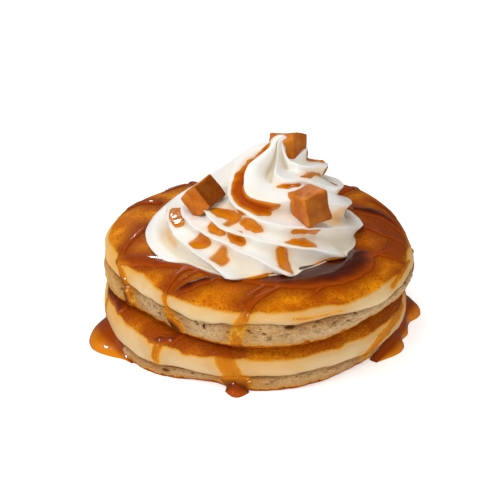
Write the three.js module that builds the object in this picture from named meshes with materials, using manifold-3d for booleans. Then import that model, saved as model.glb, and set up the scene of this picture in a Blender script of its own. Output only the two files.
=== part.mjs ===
// Pancake stack with whipped cream, fudge cubes and caramel sauce, in millimetres with +Z up.
// The origin is the centre of the underside of the lower pancake, and the front faces -Y.
import * as THREE from 'three';
import { mergeVertices } from 'three/addons/utils/BufferGeometryUtils.js';
import { RoundedBoxGeometry } from 'three/addons/geometries/RoundedBoxGeometry.js';
import Module from 'manifold-3d';

const wasm = await Module();
wasm.setup();

// Driving dimensions
const PANCAKE_RADIUS = 57;
const PANCAKE_THICKNESS = 17;
const CLEARANCE = 0.3;              // left between pieces that touch
const UPPER_SHIFT = 2;              // how far the upper pancake lies to the right
const CREAM_RADIUS = 39;
const CREAM_HEIGHT = 36;
const FUDGE_SIDE = 10.3;
const FUDGE_ROUNDING = 0.9;
const POOL_HEIGHT = 5.5;

// Places worked out from the driving dimensions
const UPPER_BASE = PANCAKE_THICKNESS + CLEARANCE;
const CREAM_BASE = UPPER_BASE + PANCAKE_THICKNESS + CLEARANCE;

// Fineness of the faceted surfaces
const PANCAKE_COLUMNS = 56;
const PANCAKE_ROWS = 17;
const CREAM_COLUMNS = 60;
const CREAM_ROWS = 30;

const COLOURS = {
  batter: 0xe2b877,
  cream: 0xf4efe6,
  fudge: 0xa85a22,
  sauce: 0x8a3d10,
};

const { cos, sin, abs, exp, hypot, max, min, PI } = Math;
const degrees = (angle) => THREE.MathUtils.degToRad(angle);
const smooth = THREE.MathUtils.smoothstep;

// How close an angle lies to a direction: 1 there, fading to 0 over the given width in degrees.
function towards(angle, direction, width) {
  const away = abs(((angle - degrees(direction) + 5 * PI) % (2 * PI)) - PI);
  return exp(-((away / degrees(width)) ** 2));
}

// A curve through [x, y] points, read as y at x.
function through(points, x) {
  const last = points.length - 1;
  const slopeAt = (i) => {
    const [a, b] = [points[max(i - 1, 0)], points[min(i + 1, last)]];
    return (b[1] - a[1]) / (b[0] - a[0]);
  };
  let i = 0;
  while (i < last - 1 && x > points[i + 1][0]) i += 1;
  const [start, end] = [points[i], points[i + 1]];
  const width = end[0] - start[0];
  const s = (x - start[0]) / width;
  const ease = s * s * (3 - 2 * s);
  return start[1] * (1 - ease) + end[1] * ease
    + width * s * (1 - s) * ((1 - s) * slopeAt(i) - s * slopeAt(i + 1));
}

// A closed body from rings of points: point(turn, row) for each ring, and a pole at both ends.
function closedBody(point, columns, rows) {
  const positions = [];
  for (let row = 0; row <= rows; row += 1) {
    const pole = row === 0 || row === rows;
    for (let column = 0; column < (pole ? 1 : columns); column += 1) {
      positions.push(...point((2 * PI * column) / columns, row / rows));
    }
  }
  const vertex = (row, column) => {
    if (row === 0) return 0;
    if (row === rows) return positions.length / 3 - 1;
    return 1 + (row - 1) * columns + (column % columns);
  };
  const index = [];
  for (let row = 0; row < rows; row += 1) {
    for (let column = 0; column < columns; column += 1) {
      const [a, b] = [vertex(row, column), vertex(row, column + 1)];
      const [c, d] = [vertex(row + 1, column + 1), vertex(row + 1, column)];
      if (row < rows - 1) index.push(a, c, d);
      if (row > 0) index.push(a, b, c);
    }
  }
  const geometry = new THREE.BufferGeometry();
  geometry.setAttribute('position', new THREE.Float32BufferAttribute(positions, 3));
  geometry.setIndex(index);
  return geometry;
}

// Pancakes -----------------------------------------------------------------------------------

const CREST_HEIGHT = 9;             // where a pancake is widest
const TOP_ROUNDING = 12;
const FOOT_ROUNDING = 2.6;
const CREASE_HEIGHT = 7.4;
const CREASE_DEPTH = 1.3;

// The lower pancake is narrower at the left, and its foot curls in at the front.
const lowerPancake = {
  radius: (turn) => PANCAKE_RADIUS - 2.6 * towards(turn, 185, 28) - 0.8 * towards(turn, 20, 40),
  flare: (turn) => 0.6 - 5 * towards(turn, 252, 13),
};

// The upper pancake is drawn in at the left front, most of all at its foot, and bulges elsewhere.
const upperPancake = {
  radius: (turn) => PANCAKE_RADIUS - 4.5 * towards(turn, 218, 30) + 1.2 * towards(turn, 300, 45)
    + 1.2 * towards(turn, 150, 25) + 1.4 * towards(turn, 45, 30) - 1.2 * towards(turn, 5, 20),
  flare: (turn) => 0.4 - 2.2 * towards(turn, 222, 30),
};

// The edge is a quarter ellipse above the widest line and a squarer quarter below it,
// with a crease round the middle where the second side of the batter rose.
function pancakePoint({ radius, flare }, turn, edge) {
  const above = edge >= 0;
  const rounding = above ? TOP_ROUNDING : FOOT_ROUNDING;
  const depth = above ? PANCAKE_THICKNESS - CREST_HEIGHT : CREST_HEIGHT;
  const height = CREST_HEIGHT + depth * sin(edge);
  const inset = rounding * (1 - max(cos(edge), 0) ** (above ? 1 : 0.5));
  const crease = CREASE_DEPTH * exp(-(((height - CREASE_HEIGHT) / 1.3) ** 2));
  const foot = flare(turn) * exp(-((height / 5) ** 2));
  const reach = radius(turn) - inset - crease + foot;
  return [reach * cos(turn), reach * sin(turn), height];
}

function pancake(shape) {
  const point = (turn, row) => {
    if (row === 0) return [0, 0, 0];
    if (row === 1) return [0, 0, PANCAKE_THICKNESS];
    const edge = (row * PANCAKE_ROWS - 1) / (PANCAKE_ROWS - 2);
    return pancakePoint(shape, turn, PI * (edge - 0.5));
  };
  return closedBody(point, PANCAKE_COLUMNS, PANCAKE_ROWS);
}

// Whipped cream --------------------------------------------------------------------------------

// Size and place of the cream's rings, by the share of the way down from the peak to the foot.
const CREAM_REACH = [[0, 0], [0.08, 5], [0.2, 13], [0.35, 21], [0.5, 27.5], [0.65, 32.5],
  [0.8, 37], [0.92, CREAM_RADIUS + 0.3], [1, CREAM_RADIUS - 1]];
const CREAM_RISE = [[0, CREAM_HEIGHT], [0.08, 32.5], [0.2, 27.7], [0.35, 21.2], [0.5, 15.2],
  [0.65, 9.7], [0.8, 4.8], [0.92, 1.6], [1, 0]];
const PEAK_X = [[0, 9.2], [0.2, 9.4], [0.35, 8.5], [0.65, 3.5], [0.8, 1.5], [1, 0]];
const PEAK_Y = [[0, 3], [0.2, 2.5], [0.5, 0], [0.8, -2.4], [1, -3.6]];
const SLOPE_LENGTH = 54;

// The piped folds wind down from the peak. Each is a crest through points of turn in degrees
// and share of the way down.
const FOLDS = [
  [[155, 0.06], [217, 0.35], [250, 0.43], [310, 0.58], [362, 0.86], [400, 1.05]],
  [[200, 0.06], [225, 0.27], [250, 0.34], [300, 0.36], [368, 0.62], [450, 1.05]],
  [[250, 0.06], [264, 0.22], [305, 0.26], [372, 0.45], [500, 0.70], [570, 0.71], [625, 1.02]],
  [[275, 0.07], [306, 0.18], [345, 0.25], [380, 0.30], [495, 0.56], [530, 0.90], [590, 1.02]],
  [[40, 0.06], [120, 0.38], [187, 0.57], [235, 0.61], [270, 0.72], [300, 0.97]],
  [[100, 0.06], [150, 0.33], [205, 0.49], [262, 0.59], [300, 0.71], [335, 1.02]],
  [[0, 0.06], [60, 0.28], [100, 0.62], [150, 1.02]],
];
const FOLD_DEPTH = 4.4;
const FOLD_WIDTH_ABOVE = 4.4;       // a fold is broad on its upper side and drops off below
const FOLD_WIDTH_BELOW = 3;
const FOLD_CREST = 0.6;             // how round its crest is
const CREAM_TWIST = degrees(300);   // how far the rows of points wind round with the folds

const NOTCH_WIDTH = 0.35;            // the peak falls away steeply on its right
const NOTCH_DEPTH = 5;

// How high the folds stand at a place on the cream, from 0 in a valley to 1 on a crest.
function foldHeight(turn, share, reach) {
  let total = 0;
  for (const crest of FOLDS) {
    const [first, last] = [crest[0][0], crest[crest.length - 1][0]];
    for (let angle = THREE.MathUtils.radToDeg(turn); angle <= last; angle += 360) {
      if (angle < first) continue;
      const along = through(crest, angle);
      const pitch = (through(crest, angle + 1) - along) * SLOPE_LENGTH;
      const lean = hypot(1, pitch / max(degrees(1) * reach, 0.05));
      const away = ((share - along) * SLOPE_LENGTH) / lean;
      const width = away > 0 ? FOLD_WIDTH_BELOW : FOLD_WIDTH_ABOVE;
      const ends = smooth(angle, first, first + 15) * smooth(-angle, -last, -last + 15);
      total += (ends * exp(-(hypot(away, FOLD_CREST) - FOLD_CREST) / width)) ** 3;
    }
  }
  return min(total ** (1 / 3), 1);
}

// Rows climb from the middle of the underside, round the foot and up to the peak.
function creamPoint(column, row) {
  if (row === 0) return [0, -3, 0];
  const share = min((1 - row) / (1 - 1 / CREAM_ROWS), 1);
  const turn = (column + CREAM_TWIST * share) % (2 * PI);
  const notch = towards(turn, 5, 55) * exp(-(((share - 0.09) / 0.06) ** 2));
  const spread = 0.06 * towards(turn, 22, 20) * smooth(share, 0.55, 0.75);
  const reach = through(CREAM_REACH, share) * (1 - NOTCH_WIDTH * notch + spread);
  const rise = through(CREAM_RISE, share) - NOTCH_DEPTH * notch;
  const step = 0.02;
  const outwards = through(CREAM_RISE, share - step) - through(CREAM_RISE, share + step);
  const upwards = through(CREAM_REACH, share + step) - through(CREAM_REACH, share - step);
  const length = hypot(outwards, upwards);
  const depth = FOLD_DEPTH * smooth(share, 0, 0.3) * (foldHeight(turn, share, reach) - 1);
  const radius = max(reach + (depth * outwards) / length, 0);
  const settle = 1 - smooth(share, 0.88, 1);
  return [
    through(PEAK_X, share) + radius * cos(turn),
    through(PEAK_Y, share) + radius * sin(turn),
    max(rise + ((depth * upwards) / length) * settle, 0),
  ];
}

// Fudge cubes -----------------------------------------------------------------------------------

// Each cube lies tumbled in the cream: its centre, its sides and its turns about X, Y and Z.
const FUDGE_CUBES = {
  fudge_cube_left: { centre: [-17.7, -8.2, 51.6], sides: [1, 1, 0.94], turns: [156, 39, -132] },
  fudge_cube_right: { centre: [19.8, -20.1, 53.5], sides: [1.03, 0.96, 1.08], turns: [178, 11, -122] },
  fudge_cube_back: { centre: [12.8, 11.4, 62.8], sides: [1.02, 1, 0.92], turns: [155, -1, -149] },
};

function fudgeGeometry(sides, growth = 0) {
  const lengths = sides.map((side) => side * FUDGE_SIDE + 2 * growth);
  return new RoundedBoxGeometry(...lengths, 2, FUDGE_ROUNDING + growth);
}

// Sauce -----------------------------------------------------------------------------------------

// Pools that ran down onto the surface: the centre, half sizes and turn of each rounded lump.
const POOLS = {
  sauce_pool_left: [
    { at: [-50.5, -22.5], half: [10.5, 7.5], turn: -52, height: 1 },
    { at: [-53.5, -13.5], half: [6, 8.5], turn: 0, height: 0.9 },
  ],
  sauce_pool_right: [
    { at: [55.5, 4.5], half: [7.7, 11], turn: 0, height: 1.15 },
    { at: [51, -13], half: [5.4, 12], turn: -10, height: 0.8 },
    { at: [46.5, -26.5], half: [7.5, 9], turn: -42, height: 0.7 },
  ],
  sauce_drip_front: [
    { at: [-5, -54], half: [3.8, 6.4], turn: 0, height: 0.65 },
  ],
};

// A lump of sauce is the upper part of a flattened ball, cut off where it meets the surface.
function poolLump({ at, half, turn, height }) {
  const geometry = new THREE.SphereGeometry(1, 20, 10);
  geometry.scale(half[0], half[1], POOL_HEIGHT * height);
  geometry.rotateZ(degrees(turn));
  geometry.translate(at[0], at[1], 0);
  return solid(geometry);
}

// Booleans --------------------------------------------------------------------------------------

function solid(geometry) {
  const plain = geometry.clone();
  plain.deleteAttribute('normal');
  plain.deleteAttribute('uv');
  const merged = mergeVertices(plain, 1e-4);
  return new wasm.Manifold(new wasm.Mesh({
    numProp: 3,
    vertProperties: Float32Array.from(merged.attributes.position.array),
    triVerts: Uint32Array.from(merged.index.array),
  }));
}

function geometryOf(manifold) {
  const { vertProperties, triVerts } = manifold.getMesh();
  const geometry = new THREE.BufferGeometry();
  geometry.setAttribute('position', new THREE.BufferAttribute(vertProperties, 3));
  geometry.setIndex(new THREE.BufferAttribute(triVerts, 1));
  geometry.computeVertexNormals();
  return geometry;
}

// Assembly --------------------------------------------------------------------------------------

const group = new THREE.Group();
group.name = 'pancake_stack';

function add(name, geometry, colour, roughness) {
  geometry.computeVertexNormals();
  const material = new THREE.MeshStandardMaterial({ color: colour, roughness, metalness: 0 });
  const mesh = new THREE.Mesh(geometry, material);
  mesh.name = name;
  group.add(mesh);
  return mesh;
}

add('pancake_bottom', pancake(lowerPancake), COLOURS.batter, 0.7);
const upper = add('pancake_top', pancake(upperPancake), COLOURS.batter, 0.7);
upper.position.set(UPPER_SHIFT, 0, UPPER_BASE);

let cream = solid(closedBody(creamPoint, CREAM_COLUMNS, CREAM_ROWS));
for (const [name, { centre, sides, turns }] of Object.entries(FUDGE_CUBES)) {
  const cube = add(name, fudgeGeometry(sides), COLOURS.fudge, 0.45);
  cube.position.set(...centre);
  cube.rotation.set(...turns.map(degrees), 'XYZ');
  cube.updateMatrix();
  const pocket = fudgeGeometry(sides, CLEARANCE).applyMatrix4(cube.matrix);
  cream = cream.subtract(solid(pocket.translate(0, 0, -CREAM_BASE)));
}
const swirl = add('whipped_cream', geometryOf(cream), COLOURS.cream, 0.5);
swirl.position.set(0, 0, CREAM_BASE);

// The pools lie against the lower pancake, so a slightly larger pancake is cut out of them.
const grown = {
  radius: (turn) => lowerPancake.radius(turn) + CLEARANCE + 0.1,
  flare: lowerPancake.flare,
};
const room = solid(pancake(grown));
const surface = wasm.Manifold.cube([400, 400, 40], true).translate([0, 0, -20]);
for (const [name, lumps] of Object.entries(POOLS)) {
  const pool = wasm.Manifold.union(lumps.map(poolLump)).subtract(room).subtract(surface);
  add(name, geometryOf(pool), COLOURS.sauce, 0.15);
}

export default group;
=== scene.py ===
"""The looks of a pancake stack: two thick pancakes, a piped swirl of cream, fudge and caramel sauce.

Shapes are worked out in millimetres and written into the meshes in metres.
"""

import bpy
import numpy as np
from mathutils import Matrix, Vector


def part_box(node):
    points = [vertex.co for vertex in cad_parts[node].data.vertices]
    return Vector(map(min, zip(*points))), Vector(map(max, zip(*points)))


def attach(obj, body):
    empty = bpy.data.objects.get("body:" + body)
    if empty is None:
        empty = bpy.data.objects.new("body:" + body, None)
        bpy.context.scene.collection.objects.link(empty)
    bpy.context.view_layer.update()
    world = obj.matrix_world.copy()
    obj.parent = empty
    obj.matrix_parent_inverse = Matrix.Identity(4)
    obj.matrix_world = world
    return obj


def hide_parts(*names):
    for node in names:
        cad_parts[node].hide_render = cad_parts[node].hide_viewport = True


bl_info = {
    "name": "Pancake Stack",
    "version": (1, 0, 0),
    "blender": (4, 5, 0),
    "location": "View3D > Sidebar > Pancakes",
    "description": "Builds thick pancakes with whipped cream, fudge cubes and caramel sauce",
    "category": "Object",
}

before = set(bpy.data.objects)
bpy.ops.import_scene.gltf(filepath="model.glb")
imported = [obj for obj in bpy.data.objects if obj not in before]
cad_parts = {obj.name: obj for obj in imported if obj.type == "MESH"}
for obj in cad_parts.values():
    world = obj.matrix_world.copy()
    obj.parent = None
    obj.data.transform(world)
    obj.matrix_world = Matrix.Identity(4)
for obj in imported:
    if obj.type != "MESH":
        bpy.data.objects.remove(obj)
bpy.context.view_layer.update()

MM = 0.001
SEED = 11


def node_box(node):
    """The lowest and highest corners of a node, in millimetres."""
    return np.array([list(corner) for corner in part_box(node)]) / MM


def linear(red, green, blue):
    """A colour given as it is seen, from 0 to 255, in the linear values that shaders use."""
    seen = np.array([red, green, blue]) / 255
    return tuple(np.where(seen <= 0.04045, seen / 12.92, ((seen + 0.055) / 1.055) ** 2.4))


# Settings -----------------------------------------------------------------------------------------


def length(name, description, millimetres):
    """A length that the user can change."""
    return bpy.props.FloatProperty(
        name=name, description=description, default=millimetres * MM, min=0.0, unit="LENGTH"
    )


def colour(name, description, seen):
    """A colour that the user can change."""
    return bpy.props.FloatVectorProperty(
        name=name, description=description, default=linear(*seen), min=0.0, max=1.0, subtype="COLOR"
    )


class StackSizes(bpy.types.PropertyGroup):
    """Sizes that a user would change."""

    pancake_radius: length("Pancake radius", "Middle of a pancake to its rim", 57.0)
    crease_depth: length("Crease depth", "How deep the crease round a pancake is", 1.3)
    crumb_depth: length("Crumb depth", "How rough the lower band of the side is", 0.55)
    fold_depth: length("Fold depth", "How deep the valleys of the cream are", 5.2)


class StackColours(bpy.types.PropertyGroup):
    """Colours that a user would change."""

    browned: colour("Browned", "Darker parts of a pancake's face", (204, 106, 2))
    golden: colour("Golden", "Lighter parts of a pancake's face", (242, 152, 4))
    # Soaked brown face, also used for painted shade on the lower pancake's top and along each pancake's foot.
    soaked_and_shaded: colour("Soaked", "Browned face that sauce has soaked", (140, 52, 2))
    rim: colour("Rim", "Golden edge of the browned face", (216, 148, 36))
    batter: colour("Batter", "Pale upper band of the side", (210, 186, 144))
    crumb: colour("Crumb", "Rough lower band of the side", (214, 180, 136))
    cream: colour("Cream", "Whipped cream", (240, 238, 232))
    fudge: colour("Fudge", "Cut fudge", (180, 90, 12))
    sauce_thin: colour("Thin sauce", "Sauce where it is a thin film", (212, 122, 0))
    sauce_browned: colour("Sauce on brown", "A thin film of sauce on the browned face", (170, 70, 0))
    sauce_thick: colour("Thick sauce", "Sauce where it stands deep", (66, 13, 0))
    sauce_amber: colour("Amber sauce", "Drops of sauce on the cream", (170, 70, 0))
    sauce_pool: colour("Pooled sauce", "Milky sauce that has pooled", (142, 56, 0))


def sizes():
    """The size settings, in millimetres."""
    group = bpy.context.scene.pancake_sizes
    return {name: getattr(group, name) / MM for name in StackSizes.__annotations__}


def colours():
    """The colour settings, each with a full alpha."""
    group = bpy.context.scene.pancake_colours
    return {name: (*getattr(group, name), 1.0) for name in StackColours.__annotations__}


# Curves and noise ---------------------------------------------------------------------------------


def ease(value, low, high):
    """A smooth step: 0 below low, 1 above high, and 3s^2 - 2s^3 between."""
    s = np.clip((value - low) / (high - low), 0, 1)
    return s * s * (3 - 2 * s)


def through(points, x):
    """A curve through [x, y] points: a cubic in each gap, sloped at a point as its neighbours' chord."""
    xs, ys = np.array(points, float).T
    before, after = np.r_[0, np.arange(len(xs) - 1)], np.r_[np.arange(1, len(xs)), len(xs) - 1]
    slopes = (ys[after] - ys[before]) / (xs[after] - xs[before])
    i = np.clip(np.searchsorted(xs, x) - 1, 0, len(xs) - 2)
    width = xs[i + 1] - xs[i]
    s = (x - xs[i]) / width
    blend = s * s * (3 - 2 * s)
    bend = width * s * (1 - s) * ((1 - s) * slopes[i] - s * slopes[i + 1])
    return ys[i] * (1 - blend) + ys[i + 1] * blend + bend


def towards(turn, direction, width):
    """How close an angle is to a direction in degrees: exp(-(angle between / width)^2)."""
    away = np.abs((turn - np.radians(direction) + np.pi) % (2 * np.pi) - np.pi)
    return np.exp(-((away / np.radians(width)) ** 2))


def lattice(cells, seed):
    """A repeatable random number from 0 to 1 for each whole-numbered cell, by mixing its bits."""
    x, y, z = (cells[..., i].astype(np.int64) for i in range(3))
    mixed = (x * 73856093) ^ (y * 19349663) ^ (z * 83492791) ^ ((seed + SEED) * 2654435761)
    mixed = (mixed ^ (mixed >> 15)) * 2246822519 & 0xFFFFFFFF
    mixed = (mixed ^ (mixed >> 13)) * 3266489917 & 0xFFFFFFFF
    return ((mixed ^ (mixed >> 16)) & 0xFFFFFF) / 0xFFFFFF


def noise(points, size, seed):
    """Smooth noise from -1 to 1: random values on a lattice of the given size, eased between cells."""
    place = points / size
    cell = np.floor(place).astype(np.int64)
    part = place - cell
    part = part * part * (3 - 2 * part)
    total = np.zeros(points.shape[:-1])
    for corner in np.ndindex(2, 2, 2):
        weight = np.prod(np.where(corner, part, 1 - part), axis=-1)
        total += weight * lattice(cell + np.array(corner), seed)
    return 2 * total - 1


def bubbles(points, size, seed):
    """How deep each point lies in a field of random bubbles, from 0 outside to 1 at a bubble's middle.

    There is a bubble at a random place in each cell of a lattice, and its radius is a random share
    of the cell. The depth is 1 less the distance divided by the radius.
    """
    place = points / size
    cell = np.floor(place).astype(np.int64)
    deepest = np.zeros(points.shape[:-1])
    for step in np.ndindex(3, 3, 3):
        other = cell + np.array(step) - 1
        spot = other + np.stack([lattice(other, seed + axis) for axis in range(3)], axis=-1)
        radius = 0.1 + 0.42 * lattice(other, seed + 3) ** 2
        deepest = np.maximum(deepest, 1 - np.linalg.norm(place - spot, axis=-1) / radius)
    return deepest


# Meshes -------------------------------------------------------------------------------------------


def mesh_piece(name, points, faces, material, replaces, values):
    """A finished piece from points in millimetres, quads and triangles, and values for each point."""
    mesh = bpy.data.meshes.new(name)
    mesh.from_pydata(points * MM, [], faces)
    mesh.update()
    mesh.shade_smooth()
    for label, numbers in values.items():
        attribute = mesh.attributes.new(label, "FLOAT", "POINT")
        attribute.data.foreach_set("value", np.asarray(numbers, np.float32).ravel())
    piece = bpy.data.objects.new(name, mesh)
    bpy.context.scene.collection.objects.link(piece)
    piece.data.materials.append(material)
    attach(piece, "root")
    if replaces:
        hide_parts(*replaces)
    return piece


def closed_faces(rows, columns):
    """Faces of a closed body: rings of points from the last but one to the first, and a pole at each end.

    Points are numbered ring by ring, then the pole before the first ring and the pole after the last.
    """
    ring, column = np.meshgrid(np.arange(rows - 1), np.arange(columns), indexing="ij")
    after = (column + 1) % columns
    here, there = ring * columns, (ring + 1) * columns
    quads = np.stack([here + column, there + column, there + after, here + after], -1).reshape(-1, 4)
    around = np.arange(columns)
    beyond = (around + 1) % columns
    start, end = rows * columns, rows * columns + 1
    last = (rows - 1) * columns
    first_fan = np.stack([np.full(columns, start), around, beyond], -1)
    last_fan = np.stack([np.full(columns, end), last + beyond, last + around], -1)
    return quads.tolist() + first_fan.tolist() + last_fan.tolist()


def film_mesh(points, normals, depth, sink=0.5):
    """A closed film over a grid that wraps round its second axis: points, faces, depths, grid numbers.

    The upper sheet is the surface plus its normal times the depth, the lower one is the surface less
    its normal times the sink, and both are kept where the film stands proud of the surface.
    """
    rows, columns = depth.shape
    proud = depth > 0
    beside = np.roll(proud, -1, axis=1)
    cells = proud[:-1] | proud[1:] | beside[:-1] | beside[1:]
    ring, column = np.nonzero(cells)
    after = (column + 1) % columns
    here, there = ring * columns, (ring + 1) * columns
    corners = np.stack([here + column, there + column, there + after, here + after], -1)
    used, index = np.unique(corners, return_inverse=True)
    quads = index.reshape(-1, 4)
    edges = np.concatenate([quads[:, [i, (i + 1) % 4]] for i in range(4)])
    key = np.sort(edges, axis=1)
    _, where, count = np.unique(key, axis=0, return_inverse=True, return_counts=True)
    rim = edges[count[where.ravel()] == 1]
    flat_points, flat_normals = points.reshape(-1, 3)[used], normals.reshape(-1, 3)[used]
    lift = np.clip(depth.ravel()[used], -0.8 * sink, None)
    upper = flat_points + flat_normals * lift[:, None]
    lower = flat_points - flat_normals * sink
    n = len(used)
    walls = np.stack([rim[:, 1], rim[:, 0], rim[:, 0] + n, rim[:, 1] + n], -1)
    faces = np.concatenate([quads, quads[:, ::-1] + n, walls])
    return np.concatenate([upper, lower]), faces.tolist(), np.concatenate([lift, lift]), used


def stroke_inside(x, y, strokes, join=0.7):
    """How far each point lies inside a set of strokes, and less than 0 outside.

    A stroke is a chain of (x, y, half width) points. Its inside is the half width less the distance
    to the chain, and the strokes are joined by a smooth maximum, as drops of liquid run together.
    """
    inside = np.full(x.shape, -50.0)
    for stroke in strokes:
        for (x0, y0, w0), (x1, y1, w1) in zip(stroke, stroke[1:] or stroke):
            span = np.array([x1 - x0, y1 - y0])
            along = ((x - x0) * span[0] + (y - y0) * span[1]) / max(span @ span, 1e-9)
            along = np.clip(along, 0, 1)
            away = np.hypot(x - x0 - along * span[0], y - y0 - along * span[1])
            segment = w0 + (w1 - w0) * along - away
            overlap = np.clip(join - np.abs(inside - segment), 0, None) / join
            inside = np.maximum(inside, segment) + overlap * overlap * join / 4
    return inside


def bead(inside, depth, edge):
    """The depth of liquid at a distance inside its outline: depth * (1 - exp(-inside / edge))."""
    return np.where(inside > 0, depth * (1 - np.exp(-np.clip(inside, 0, None) / edge)), inside * depth / edge)


# Materials ----------------------------------------------------------------------------------------


class Value:
    """A socket's number, so that shader maths reads as arithmetic."""

    def __init__(self, graph, socket):
        self.graph = graph
        self.socket = socket

    def _math(self, operation, a, b=0.0):
        node = self.graph.node("ShaderNodeMath", {"operation": operation}, {0: a, 1: b})
        return Value(self.graph, node.outputs[0])

    def __add__(self, other):
        return self._math("ADD", self, other)

    def __sub__(self, other):
        return self._math("SUBTRACT", self, other)

    def __rsub__(self, other):
        return self._math("SUBTRACT", other, self)

    def __mul__(self, other):
        return self._math("MULTIPLY", self, other)

    def __truediv__(self, other):
        return self._math("DIVIDE", self, other)

    def __rtruediv__(self, other):
        return self._math("DIVIDE", other, self)

    __radd__ = __add__
    __rmul__ = __mul__


class Graph:
    """The nodes of one material."""

    def __init__(self, name):
        self.material = bpy.data.materials.new(name)
        self.material.use_nodes = True
        self.tree = self.material.node_tree
        self.tree.nodes.clear()
        self.place = Value(self, self.node("ShaderNodeTexCoord").outputs["Object"])

    def node(self, kind, settings=None, inputs=None):
        """A node of a kind, with its settings made first and then its sockets' values and links."""
        node = self.tree.nodes.new(kind)
        for name, setting in (settings or {}).items():
            setattr(node, name, setting)
        for name, value in (inputs or {}).items():
            if isinstance(value, Value):
                self.tree.links.new(value.socket, node.inputs[name])
            else:
                node.inputs[name].default_value = value
        return node

    def attribute(self, name):
        """A value that a piece carries at its points."""
        node = self.node("ShaderNodeAttribute", {"attribute_name": name})
        return Value(self, node.outputs["Fac"])

    def speckle(self, size, detail=2.0, roughness=0.5, stretch=(1.0, 1.0, 1.0), shift=0.0):
        """Noise from 0 to 1 with lumps of a size in millimetres, squeezed by a stretch and shifted."""
        spot = {"Vector": self.place, "Scale": stretch, "Location": (shift, shift, shift)}
        inputs = {
            "Vector": Value(self, self.node("ShaderNodeMapping", None, spot).outputs[0]),
            "Scale": 1 / (size * MM),
            "Detail": detail,
            "Roughness": roughness,
        }
        return Value(self, self.node("ShaderNodeTexNoise", None, inputs).outputs["Fac"])

    def pores(self, size):
        """The distance to the nearest of a field of points, in cells of a size in millimetres."""
        inputs = {"Vector": self.place, "Scale": 1 / (size * MM)}
        return Value(self, self.node("ShaderNodeTexVoronoi", None, inputs).outputs["Distance"])

    def between(self, value, low, high, start=0.0, end=1.0):
        """A value carried from low..high to start..end, eased and held at the ends."""
        inputs = {"Value": value, "From Min": low, "From Max": high, "To Min": start, "To Max": end}
        node = self.node("ShaderNodeMapRange", {"interpolation_type": "SMOOTHSTEP"}, inputs)
        return Value(self, node.outputs[0])

    def mix(self, factor, first, second):
        """Two colours mixed by a factor."""
        node = self.node("ShaderNodeMix", {"data_type": "RGBA"}, {0: factor, 6: first, 7: second})
        return Value(self, node.outputs[2])

    def bump(self, height, distance, strength=1.0, normal=None):
        """A relief of a height from 0 to 1 times a distance in millimetres."""
        inputs = {"Height": height, "Distance": distance * MM, "Strength": strength}
        if normal:
            inputs["Normal"] = normal
        return Value(self, self.node("ShaderNodeBump", None, inputs).outputs[0])

    def finish(self, inputs):
        """The material, with a shader that has these inputs."""
        shader = self.node("ShaderNodeBsdfPrincipled", None, inputs)
        output = self.node("ShaderNodeOutputMaterial")
        self.tree.links.new(shader.outputs[0], output.inputs[0])
        return self.material


def seen(*shade):
    """A shader's colour from one given as it is seen, from 0 to 255."""
    return (*linear(*shade), 1.0)


def pancake_material():
    """A browned face with a fine mottled skin, a pale smooth side and a rough, porous lower band."""
    shades = colours()
    graph = Graph("pancake")
    browning = graph.attribute("browning")
    crumb = graph.attribute("crumb")
    soaked_and_shaded = graph.attribute("soaked_and_shaded")
    wide = graph.speckle(16.0, 3.0)
    mottle = graph.speckle(4.0, 3.0, shift=0.2)
    blotch = graph.speckle(7.0, 3.0, stretch=(1.0, 1.0, 1.6), shift=0.4)
    grain = graph.speckle(0.85, 3.0, 0.65)
    dimples = graph.pores(1.1)
    side = graph.mix(crumb, shades["batter"], shades["crumb"])
    side = graph.mix(graph.between(blotch, 0.45, 0.75, 0.0, 0.6), side, seen(208, 172, 112))
    side = graph.mix(graph.between(grain, 0.42, 0.72, 0.0, 0.6) * crumb, side, seen(150, 104, 54))
    # Darker where sauce has soaked in, plus painted shade on the lower pancake and along each pancake's foot.
    side = graph.mix(soaked_and_shaded * (0.35 + 0.4 * crumb), side, seen(176, 114, 46))
    side = graph.mix(graph.attribute("fringe") * 0.4, side, seen(216, 158, 66))
    side = graph.mix(graph.attribute("glazed") * 0.9, side, seen(226, 158, 40))
    # Painted shade in the crease, the crumb's hollows and near the foot of the side.
    side = graph.mix(graph.attribute("crease") * 0.6, side, seen(164, 108, 48))
    # Painted shade inside the pores.
    side = graph.mix(graph.between(graph.attribute("pores"), 0.02, 0.4, 0.0, 0.9), side, seen(88, 50, 16))
    patches = graph.between(wide + (mottle - 0.5) * 0.5, 0.35, 0.7)
    face = graph.mix(patches, shades["browned"], shades["golden"])
    face = graph.mix(graph.between(grain, 0.45, 0.7, 0.0, 0.75), face, seen(140, 64, 2))
    face = graph.mix(graph.between(dimples, 0.1, 0.45, 0.4, 0.0), face, seen(226, 150, 44))
    # Darker where sauce has soaked in, plus painted shade on the lower pancake's top and along each foot.
    face = graph.mix(soaked_and_shaded * 0.8, face, shades["soaked_and_shaded"])
    rim = graph.mix(graph.between(browning + (grain - 0.5) * 0.3, 0.05, 0.4), side, shades["rim"])
    edge = browning + (mottle - 0.5) * 0.4 + (grain - 0.5) * 0.4
    base = graph.mix(graph.between(edge, 0.3, 0.7), rim, face)
    rough = 0.2 + 0.8 * graph.between(browning + crumb, 0.0, 0.6)
    torn = graph.bump(graph.speckle(1.7, 4.0, 0.7) * crumb, 1.4, 0.8)
    grained = graph.bump(grain * rough, 0.5, 0.8, torn)
    relief = graph.bump(graph.between(dimples, 0.0, 0.5) * rough, 0.3, 0.6, grained)
    return graph.finish(
        {
            "Base Color": base,
            "Roughness": graph.between(browning + soaked_and_shaded * 0.5, 0.0, 1.3, 0.8, 0.42),
            "Normal": relief,
            "Subsurface Weight": 0.1,
            "Subsurface Radius": (0.004, 0.002, 0.001),
            "Subsurface Scale": 1.0,
            "Specular IOR Level": 0.08,
        }
    )


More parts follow.
